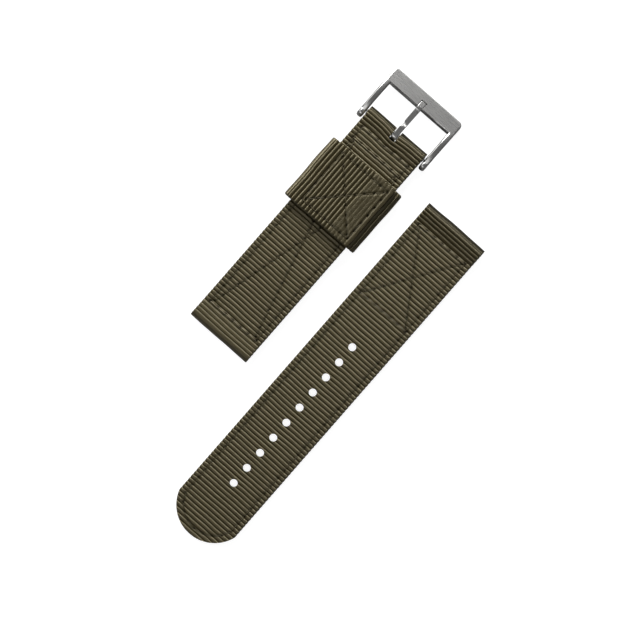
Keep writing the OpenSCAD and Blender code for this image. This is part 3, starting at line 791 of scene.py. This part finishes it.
combine(buckle_webbing, curl_room, finish=sealed)
dress(buckle_webbing, webbing, "buckle_piece", "webbing", "buckle_piece_webbing")


# Thread of the buckle piece: twisted olive thread, sewn through both layers in lock
# stitches, so that the same dashes show on the top and underneath.
THREAD_R, THREAD_SLANT = 0.15 * MM, 0.07 * MM


def thread_look(name, dark, light, gloss):
    """Thread of two plies twisted together."""
    look, tree, shader = new_look(name)
    ply_map = tree.nodes.new("ShaderNodeUVMap")
    ply_map.uv_map = "ply"
    part = tree.nodes.new("ShaderNodeSeparateXYZ")
    tree.links.new(ply_map.outputs[0], part.inputs[0])
    round_it = figure(tree, "MULTIPLY", part.outputs[0], 2 * math.pi)
    along_it = figure(tree, "MULTIPLY", part.outputs[1], 4 * math.pi)
    twist = figure(tree, "SINE", figure(tree, "ADD", round_it, along_it))
    ply = figure(tree, "MULTIPLY_ADD", twist, 0.5, 0.5)
    tree.links.new(blend_colours(tree, ply, dark, light), shader.inputs["Base Color"])
    shader.inputs["Roughness"].default_value = 0.6
    shader.inputs["Specular IOR Level"].default_value = gloss
    raised(tree, shader, ply, 0.05 * MM)
    return look


# Two copies of one thread: the rows' thread is lighter by a painted highlight, and the thread
# sunk in the seams' furrows darker by painted shade.
thread = thread_look("olive_thread", (0.1, 0.084, 0.046), (0.23, 0.2, 0.13), 0.4)
shaded_thread = thread_look("olive_thread_painted_shade", (0.03, 0.025, 0.01), (0.085, 0.07, 0.035), 0.25)

# One stitch: share of its length, and its height there in millimetres. It comes out of
# one of the needle's holes, lies along the cloth, and goes in at the next.
STITCH = (
    (0.0, -0.6), (0.09, -0.4), (0.2, -0.06), (0.5, 0.0), (0.8, -0.06), (0.91, -0.4), (1.0, -0.6)
)


def sew(name, lines, face, side, body, node, sunk, finish):
    """One seam's run of thread on a face at that height, side 1 above and -1 underneath."""
    shape = bpy.data.curves.new(name, "CURVE")
    shape.dimensions = "3D"
    shape.bevel_depth = THREAD_R
    shape.bevel_resolution = 1
    shape.use_fill_caps = True
    for a, b in lines:
        a, b = Vector((*a, 0)), Vector((*b, 0))
        count = stitches_in(a, b)
        slant = Vector((0, 0, 1)).cross(b - a).normalized() * THREAD_SLANT
        points = []
        for i in range(count):
            for share, lift in STITCH[(0 if i == 0 else 1):]:
                at = a + (b - a) * (i + share) / count + slant * math.sin(2 * math.pi * share)
                at.z = face + side * (lift - sunk) * MM
                points.append(at)
        spline = shape.splines.new("POLY")
        spline.points.add(len(points) - 1)
        for point, at in zip(spline.points, points):
            point.co = (*at, 1)
    run = bpy.data.objects.new(name, shape)
    bpy.context.collection.objects.link(run)
    choose(run)
    bpy.ops.object.convert(target="MESH")
    run = bpy.context.object
    run.data.uv_layers[0].name = "ply"
    dress(run, finish, body, "thread", node, angle=80)


ON_TOP, SUNK, BOBBIN_SUNK = 0.0, 0.2, 0.17


def sew_through(seam, node, lines, middle, body, sunk=SUNK, finish=shaded_thread):
    """A seam through two layers: the needle's thread on top, the bobbin's underneath."""
    sew(seam + "_stitches", lines, middle + LAYER, 1, body, node + "_thread", sunk, finish)
    sew(
        seam + "_bobbin_stitches", lines, middle - LAYER, -1, body,
        node + "_bobbin_thread", max(sunk, BOBBIN_SUNK), finish,
    )


for seam, node_name, lines in (
    ("fold_row", "fold_row", fold_rows),
    ("buckle_piece_lug_row", "buckle_piece_border", short_row),
):
    sew_through(seam, node_name, lines, short_mid, "buckle_piece", ON_TOP, thread)
for seam, lines in (("buckle_piece_border", short_sides), ("buckle_piece_cross", short_cross)):
    sew_through(seam, seam, lines, short_mid, "buckle_piece")


# Keeper: a strip of the same webbing turned so that its ribs run along the strap, rolled
# into a flat loop, its outer end lapped over its inner end and sewn with a crossed box.
low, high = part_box("keeper_webbing")
keeper_x, keeper_y = (low[0] + high[0]) / 2, (low[1] + high[1]) / 2
keeper_half, keeper_len, keeper_top = (high[0] - low[0]) / 2, high[1] - low[1], high[2]
BEND, BEND_STEPS = 2 * MM, 12
side = keeper_half - BEND
OUTER_END, INNER_END = 11 * MM, 10 * MM
lower_top = keeper_top - LAYER
keeper_route = (
    [(-INNER_END, lower_top)]
    + arc((side, lower_top - BEND), BEND, 90, 0, BEND_STEPS)
    + arc((side, BEND), BEND, 0, -90, BEND_STEPS)
    + arc((-side, BEND), BEND, -90, -180, BEND_STEPS)
    + arc((-side, keeper_top - BEND), BEND, 180, 90, BEND_STEPS)
    + [(OUTER_END, keeper_top)]
)
run = running_length(keeper_route)
ribs = round(run[-1] / RIB_PITCH)
keeper = woven_strip("rolled_webbing_keeper", ribs, run[-1] / ribs, keeper_len)
right_bend = run[2 * (BEND_STEPS + 1)]
# The keeper's right bend and its outer end get painted shade, darker on the side away from the
# lamps.
flatten_folds(
    keeper,
    [
        (right_bend - 3 * MM, right_bend + 3 * MM, 0.85, 0.4),
        (run[-1] - 8 * MM, run[-1] + 2 * MM, 0.87, 0.25),
    ],
)
LIE = Matrix(((1, 0, 0, 0), (0, 0, -1, 0), (0, 1, 0, 0), (0, 0, 0, 1)))
fold_along(keeper, keeper_route, Matrix.Translation((keeper_x, keeper_y, 0)) @ LIE)
KEEPER_SWAY = 0.3 * MM
sway(keeper, "keeper_sway", "X", KEEPER_SWAY, SWAY_SIZE)

KEEPER_BOX_X, KEEPER_BOX_Y, KEEPER_BOX_OFF = 8.95 * MM, 9.15 * MM, 0.65 * MM
KEEPER_FURROW, KEEPER_HOLE = 0.22 * MM, 0.2 * MM
keeper_at = (keeper_x + KEEPER_BOX_OFF, keeper_y)
keeper_seam = (
    seam_sides(KEEPER_BOX_X, -KEEPER_BOX_Y, KEEPER_BOX_Y, keeper_at)
    + seam_row(-KEEPER_BOX_Y, KEEPER_BOX_X, keeper_at)
    + seam_row(KEEPER_BOX_Y, KEEPER_BOX_X, keeper_at)
    + seam_cross(KEEPER_BOX_X, -KEEPER_BOX_Y, KEEPER_BOX_Y, keeper_at)
)
co = points_of(keeper)
furrow = near_lines(co, keeper_seam, FURROW_REACH)
hole = near_holes(co, keeper_seam, SEAM_HOLE_REACH)
above = np.clip((co[:, 2] - (keeper_top - LAYER / 2)) / FACE_EASE, 0, 1)
push(keeper, "keeper_furrow", -KEEPER_FURROW, "Z", furrow * above)
push(keeper, "keeper_hole", -KEEPER_HOLE, "Z", hole * above)
upper_layers = co[:, 2] > keeper_top - 3 * LAYER
# Painted shade and a duller gloss, marked in the keeper's furrows and needle holes.
mark(keeper, "seam_shade_and_dull", np.clip((0.75 * furrow + 0.7 * hole) * upper_layers, 0, 1))
dress(keeper, webbing, "keeper", "webbing", "keeper_webbing")
sew_through("keeper", "keeper", keeper_seam, keeper_top - LAYER, "keeper")


# Buckle frame: satin stainless steel, ground along its front bar. The bar is a block
# rounded off all round, and each arm is a rounded section spun along its arch to a round
# eye for the sprung bar's pin; the tang's recess is cut last.
FINE_GRAIN, LONG_GRAIN, STAIN_SCALE = 9000, 250, 400
GRAIN_ROUGH, GRAIN_DEPTH, GRAIN_STRENGTH = 0.08, 0.01 * MM, 0.15


def steel_look(name, grain_axis, base, rough, polished=None):
    """Satin steel with its grain along an axis, and smoother on one side of a place in Y."""
    look, tree, shader = new_look(name)
    place = tree.nodes.new("ShaderNodeTexCoord")
    stretch = tree.nodes.new("ShaderNodeMapping")
    scale = [FINE_GRAIN] * 3
    scale[grain_axis] = LONG_GRAIN
    stretch.inputs["Scale"].default_value = scale
    tree.links.new(place.outputs["Object"], stretch.inputs["Vector"])
    grain = patches(tree, stretch.outputs[0], 1, 3)
    stain = patches(tree, place.outputs["Object"], STAIN_SCALE, 3)
    dull, bright = tuple(c * 0.92 for c in base), tuple(c * 1.06 for c in base)
    tree.links.new(blend_colours(tree, stain, dull, bright), shader.inputs["Base Color"])
    uneven = figure(tree, "MULTIPLY_ADD", grain, GRAIN_ROUGH, rough - GRAIN_ROUGH / 2)
    if polished:
        start, smoother = polished
        spot = tree.nodes.new("ShaderNodeSeparateXYZ")
        tree.links.new(place.outputs["Object"], spot.inputs[0])
        ground = figure(tree, "SUBTRACT", spot.outputs[1], start - 0.4 * MM)
        ground = figure(tree, "DIVIDE", ground, 0.8 * MM, clamp=True)
        uneven = figure(tree, "MULTIPLY", figure(tree, "SUBTRACT", uneven, smoother), ground)
        uneven = figure(tree, "ADD", uneven, smoother)
    tree.links.new(uneven, shader.inputs["Roughness"])
    shader.inputs["Metallic"].default_value = 1
    raised(tree, shader, grain, GRAIN_DEPTH, GRAIN_STRENGTH)
    return look


low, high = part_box("buckle_frame")
FRAME_W, FRAME_T, ARM_W, BAR_DEPTH = high[0] - low[0], 1.9 * MM, 1.9 * MM, 5.2 * MM
BAR_TILT = math.radians(20.7)
CORNER_R, ROUND_R, ARM_INNER_R, BAR_INNER_R = 1.55 * MM, 0.5 * MM, 0.55 * MM, 0.3 * MM
EYE_R, EYE_ROUND_R, EYE_BACK, PIN_HOLE_R = 1.75 * MM, 0.7 * MM, 1.2 * MM, 0.45 * MM
TANG_W, TANG_T, TANG_LAP, RECESS_GAP = 1.7 * MM, 0.65 * MM, 2.1 * MM, 0.25 * MM
BAR_GROUND = 4.9 * MM
frame_steel = steel_look(
    "satin_steel", 0, (0.5, 0.495, 0.485), 0.28, (high[1] - BAR_GROUND, 0.27)
)
pivot = Vector((short_x, fold_y - FOLD_R, short_mid))
along_bar = Vector((0, math.cos(BAR_TILT), -math.sin(BAR_TILT)))
off_bar = Vector((0, math.sin(BAR_TILT), math.cos(BAR_TILT)))
outer = Vector((short_x, high[1] - ROUND_R, low[2] + ROUND_R))
bar_mid = (
    outer
    - along_bar * (BAR_DEPTH / 2 - ROUND_R)
    + Vector((0, -off_bar.y, off_bar.z)) * (FRAME_T / 2 - ROUND_R)
)
bar_back = bar_mid - along_bar * BAR_DEPTH / 2
chord = bar_back - pivot
chord_turn = BAR_TILT + math.atan2(chord.z, chord.y)
arch_r = chord.length / (2 * math.sin(chord_turn))
arch_mid = bar_back - off_bar * arch_r
pivot_slope = 2 * chord_turn - BAR_TILT
eye_mid = pivot - Vector((0, math.cos(pivot_slope), math.sin(pivot_slope))) * EYE_BACK


def corners(obj, item):
    """Where an edge's or face's corners are."""
    return [obj.data.vertices[i].co for i in item.vertices]


def round_off(obj, test, radius, segments):
    """Bevels the edges that pass the test."""
    bpy.ops.object.mode_set(mode="EDIT")
    pick(obj, lambda e: test(corners(obj, e)), "EDGE")
    bpy.ops.mesh.bevel(offset=radius, segments=segments, affect="EDGES")
    bpy.ops.object.mode_set(mode="OBJECT")


def turned_to_bar(obj, place):
    """Tilts a block as the front bar is, and sets it in place."""
    obj.rotation_euler = (-BAR_TILT, 0, 0)
    obj.location = place
    bpy.ops.object.transform_apply()


def level(ends):
    """Whether an edge of the bar runs level."""
    return abs(ends[0].z - ends[1].z) < NEAR


steel_frame = start_from(bpy.ops.mesh.primitive_cube_add, size=1)
steel_frame.name = "steel_frame"
steel_frame.scale = (FRAME_W, BAR_DEPTH, FRAME_T)
bpy.ops.object.transform_apply()
front = BAR_DEPTH / 2
round_off(steel_frame, lambda ends: not level(ends) and ends[0].y > 0, CORNER_R, 12)
round_off(
    steel_frame,
    lambda ends: level(ends) and max(p.y for p in ends) > NEAR - front,
    ROUND_R,
    8,
)
round_off(
    steel_frame,
    lambda ends: level(ends)
    and all(p.y < NEAR - front and abs(p.z) > FRAME_T / 2 - NEAR for p in ends),
    BAR_INNER_R,
    4,
)
turned_to_bar(steel_frame, bar_mid)


ARM_OVERLAP = math.radians(4)
ARM_START = math.pi / 2 - BAR_TILT - ARM_OVERLAP
ARM_SWEEP = math.pi / 2 + pivot_slope + math.asin(EYE_BACK / arch_r) - ARM_START
for side_way in (-1, 1):
    arm_x = short_x + side_way * (FRAME_W - ARM_W) / 2
    steel_arm = start_from(bpy.ops.mesh.primitive_plane_add, size=1)
    steel_arm.scale = (ARM_W, FRAME_T, 1)
    bpy.ops.object.transform_apply()
    bpy.ops.object.mode_set(mode="EDIT")
    for corner_way, corner_round in ((side_way, ROUND_R), (-side_way, ARM_INNER_R)):
        pick(
            steel_arm,
            lambda v: abs(abs(v.co.y) - FRAME_T / 2) < SAME
            and abs(v.co.x * corner_way - ARM_W / 2) < SAME,
        )
        bpy.ops.mesh.bevel(offset=corner_round, segments=8, affect="VERTICES")
    bpy.ops.object.mode_set(mode="OBJECT")
    steel_arm.rotation_euler = (ARM_START, 0, 0)
    steel_arm.location = (
        arm_x,
        arch_mid.y + arch_r * math.cos(ARM_START),
        arch_mid.z + arch_r * math.sin(ARM_START),
    )
    bpy.ops.object.transform_apply()
    bpy.ops.object.mode_set(mode="EDIT")
    bpy.ops.mesh.select_all(action="SELECT")
    bpy.ops.mesh.spin(steps=64, angle=-ARM_SWEEP, center=arch_mid, axis=(1, 0, 0))
    bpy.ops.mesh.select_all(action="SELECT")
    bpy.ops.mesh.normals_make_consistent(inside=False)
    bpy.ops.object.mode_set(mode="OBJECT")
    steel_eye = start_from(
        bpy.ops.mesh.primitive_cylinder_add,
        vertices=64,
        radius=EYE_R,
        depth=ARM_W,
        location=(arm_x, eye_mid.y, eye_mid.z),
        rotation=ACROSS,
    )
    bpy.ops.object.transform_apply()
    round_off(steel_eye, lambda ends: abs(ends[0].x - ends[1].x) < NEAR, EYE_ROUND_R, 7)
    combine(steel_arm, steel_eye, "UNION")
    combine(steel_frame, steel_arm, "UNION")

RECESS_ROOM = 0.06 * MM
recess_floor = FRAME_T / 2 - TANG_T - RECESS_ROOM
recess = start_from(bpy.ops.mesh.primitive_cube_add, size=1)
recess.scale = (TANG_W + 2 * RECESS_GAP, BAR_DEPTH, FRAME_T)
bpy.ops.object.transform_apply()
recess_back = along_bar * (TANG_LAP + RECESS_GAP - BAR_DEPTH)
turned_to_bar(recess, bar_mid + recess_back + off_bar * (recess_floor + FRAME_T / 2))
pin_hole = start_from(
    bpy.ops.mesh.primitive_cylinder_add,
    vertices=32,
    radius=PIN_HOLE_R,
    depth=FRAME_W + 2 * MM,
    location=pivot,
    rotation=ACROSS,
)
bpy.ops.object.transform_apply()
combine(steel_frame, recess)
combine(steel_frame, pin_hole)


def dress_metal(piece, look, body, slot, node, angle=30):
    """A metal piece's finish, with even light over its flat faces."""
    dress(piece, look, body, slot, node, angle=angle)
    flat = piece.modifiers.new("flat_faces", "WEIGHTED_NORMAL")
    flat.keep_sharp = True
    apply_all(piece)


steel_frame.data.materials.clear()
dress_metal(steel_frame, frame_steel, "buckle", "buckle_steel", "buckle_frame")


# Tang: a flat strip of the same steel, ground lengthwise. One end is curled round the
# bar, the middle is stepped down, and the other end is bent to lie in its recess.
tang_steel = steel_look("tang_steel", 1, (0.58, 0.575, 0.565), 0.26)
TANG_LIFT = math.radians(5)
TUBE_R, TUBE_FIT, CURL_GAP = 0.9 * MM, 0.05 * MM, 0.5 * MM
STEP_AT, STEP_LENGTH, STEP_DROP = 1.1 * MM, 1.2 * MM, 0.8 * MM
RISE_LENGTH, RISE, RECESS_START = 1.2 * MM, 0.36 * MM, 0.25 * MM
TANG_BEND_R, TANG_EDGE = 0.5 * MM, 0.1 * MM
CURL_MID_R = TUBE_R + TUBE_FIT + TANG_T / 2
CURL_OPEN = 2 * math.asin(CURL_GAP / 2 / CURL_MID_R)
curl_top = pivot + CURL_MID_R * Vector((0, -math.sin(TANG_LIFT), math.cos(TANG_LIFT)))
step_y = fold_y + STEP_AT
step_z = curl_top.z + (step_y - curl_top.y) * math.tan(TANG_LIFT)
tang_up = off_bar * (FRAME_T - TANG_T) / 2
at_bar = bar_back - along_bar * RECESS_START + tang_up
tang_line = [
    curl_top,
    Vector((short_x, step_y, step_z)),
    Vector((short_x, step_y + STEP_LENGTH, step_z - STEP_DROP)),
    at_bar - Vector((0, RISE_LENGTH, RISE)),
    at_bar,
    bar_back + along_bar * TANG_LAP + tang_up,
]
steel_tang = start_from(bpy.ops.mesh.primitive_plane_add, size=TANG_W, location=curl_top)
steel_tang.name = "steel_tang"
bpy.ops.object.transform_apply()
bpy.ops.object.mode_set(mode="EDIT")
pick(steel_tang, lambda v: v.co.y > curl_top.y)
bpy.ops.mesh.delete(type="VERT")
bpy.ops.mesh.select_all(action="SELECT")
bpy.ops.transform.translate(value=(0, TANG_W / 2, 0))
for here, there in zip(tang_line, tang_line[1:]):
    bpy.ops.mesh.extrude_region_move(TRANSFORM_OT_translate={"value": there - here})
bpy.ops.object.mode_set(mode="OBJECT")
for bend in tang_line[1:-1]:
    round_off(
        steel_tang,
        lambda ends: all(math.hypot(p.y - bend.y, p.z - bend.z) < NEAR for p in ends),
        TANG_BEND_R,
        8,
    )
bpy.ops.object.mode_set(mode="EDIT")
pick(steel_tang, lambda v: (v.co - curl_top).yz.length < NEAR)
bpy.ops.mesh.spin(
    steps=48, angle=CURL_OPEN + TANG_LIFT - 1.5 * math.pi, center=pivot, axis=(1, 0, 0)
)
bpy.ops.mesh.select_all(action="SELECT")
bpy.ops.mesh.normals_make_consistent(inside=False)
bpy.ops.object.mode_set(mode="OBJECT")
thick = steel_tang.modifiers.new("thickness", "SOLIDIFY")
thick.thickness = TANG_T
thick.offset = 0
thick.use_even_offset = True
broken = steel_tang.modifiers.new("broken_edge", "BEVEL")
broken.width = TANG_EDGE
broken.segments = 3
broken.limit_method = "ANGLE"
broken.angle_limit = math.radians(60)
apply_all(steel_tang)
dress_metal(steel_tang, tang_steel, "tang", "buckle_steel", "buckle_tang")


# Sprung bar: a turned steel tube with a coil spring inside, which presses a pin into the
# eye of each arm. The tube is a smooth copy of its solid; the spring and the pins are
# their own solids with the same finish.
bar_steel = steel_look("bar_steel", 0, (0.5, 0.5, 0.49), 0.3)
choose(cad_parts["bar_tube"])
bpy.ops.object.duplicate()
tube = bpy.context.object
tube.name = "sprung_bar_tube"
tube.parent = None
tube.data.materials.clear()
bpy.ops.object.mode_set(mode="EDIT")
bpy.ops.mesh.select_all(action="SELECT")
bpy.ops.mesh.remove_doubles(threshold=NEAR)
bpy.ops.mesh.dissolve_limited(angle_limit=math.radians(0.5))
bpy.ops.object.mode_set(mode="OBJECT")
dress_metal(tube, bar_steel, "buckle", "bar_steel", "bar_tube", 35)
for node_name in ("bar_spring", "bar_pin_left", "bar_pin_right"):
    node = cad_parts[node_name]
    node.data.materials.clear()
    node.data.materials.append(bar_steel)


# Tip piece: one strip folded double at the tunnel, cut to a curve and sealed at the tip,
# with ten punched holes for the tang.
low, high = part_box("tip_piece_webbing")
long_x, long_y, long_length = (low[0] + high[0]) / 2, high[1], high[1] - low[1]
long_mid = LAYER
long_route = (
    [(-long_length, LAYER)]
    + folded_end(LUG_R, LUG_R - LAYER, LUG_ROW)
    + [(-long_length, -LAYER)]
)
run = running_length(long_route)
ribs = round(run[-1] / RIB_PITCH)
tip_webbing = woven_strip("folded_webbing_tip_piece", ribs, run[-1] / ribs, STRAP, True)
lug_mid = run[1 + END_MIDDLE]
# The lug end's fold is flattened and darkened by painted shade.
flatten_folds(tip_webbing, [(lug_mid - LUG_BEND, lug_mid + LUG_BEND, 0.94, 0.8)])
fold_along(tip_webbing, long_route, Matrix.Translation((long_x, long_y, long_mid)) @ STAND)
sway(tip_webbing, "tip_sway", "Y", CORD_SWAY, SWAY_SIZE)
sway(tip_webbing, "tip_lift", "Z", CORD_LIFT, LIFT_SIZE)

# The tip is an arc across the whole width, and the border seam follows it round
SECOND_LUG_ROW = LUG_ROW + 26.7 * MM
TIP_CURVE = 8.2 * MM
tip_r = (TIP_CURVE**2 + HALF**2) / (2 * TIP_CURVE)
tip_mid = long_length - tip_r
seam_r = tip_r - BORDER_INSET
seam_turn = math.acos(BORDER / seam_r)
long_at = (long_x, long_y)
lug_rows = seam_row(LUG_ROW, BORDER, long_at) + seam_row(SECOND_LUG_ROW, BORDER, long_at)
long_sides = seam_sides(BORDER, LUG_ROW, tip_mid + seam_r * math.sin(seam_turn), long_at)
long_cross = seam_cross(BORDER, LUG_ROW, SECOND_LUG_ROW, long_at)
sweep = math.pi - 2 * seam_turn
tip_count = round(sweep * seam_r / STITCH_PITCH)
tip_turns = [-seam_turn - sweep * i / tip_count for i in range(tip_count + 1)]
tip_points = [
    (long_x + seam_r * math.cos(t), long_y - tip_mid + seam_r * math.sin(t)) for t in tip_turns
]
long_border = long_sides + list(zip(tip_points, tip_points[1:]))
press_seams(tip_webbing, lug_rows, long_border + long_cross, long_mid)
tip_webbing.data.materials.append(webbing)

CUTTER_DEPTH, PUNCH_DEPTH = 20 * MM, 8 * MM
outline = start_from(
    bpy.ops.mesh.primitive_cylinder_add,
    vertices=160,
    radius=tip_r,
    depth=CUTTER_DEPTH,
    location=(long_x, long_y - tip_mid, long_mid),
)
bpy.ops.object.transform_apply()
bpy.ops.object.mode_set(mode="EDIT")
pick(outline, lambda v: v.co.y > long_y - tip_mid + NEAR)
bpy.ops.transform.translate(value=(0, long_length, 0))
bpy.ops.object.mode_set(mode="OBJECT")
combine(tip_webbing, outline, "INTERSECT", sealed)

HOLES, HOLE_PITCH, HOLE_R, LAST_HOLE = 10, 6 * MM, 1.2 * MM, 20.1 * MM
punch = start_from(
    bpy.ops.mesh.primitive_cylinder_add,
    vertices=40,
    radius=HOLE_R,
    depth=PUNCH_DEPTH,
    location=(long_x, long_y - long_length + LAST_HOLE, long_mid),
)
bpy.ops.object.transform_apply()
row_of_holes = punch.modifiers.new("holes", "ARRAY")
row_of_holes.count = HOLES
row_of_holes.use_relative_offset = False
row_of_holes.use_constant_offset = True
row_of_holes.constant_offset_displace = (0, HOLE_PITCH, 0)
apply_all(punch)
combine(tip_webbing, punch, finish=sealed)
dress(tip_webbing, webbing, "tip_piece", "webbing", "tip_piece_webbing")
sew_through("lug_row", "lug_row", lug_rows, long_mid, "tip_piece", ON_TOP, thread)
for seam, lines in (("tip_piece_border", long_border), ("tip_piece_cross", long_cross)):
    sew_through(seam, seam, lines, long_mid, "tip_piece")


low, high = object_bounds()
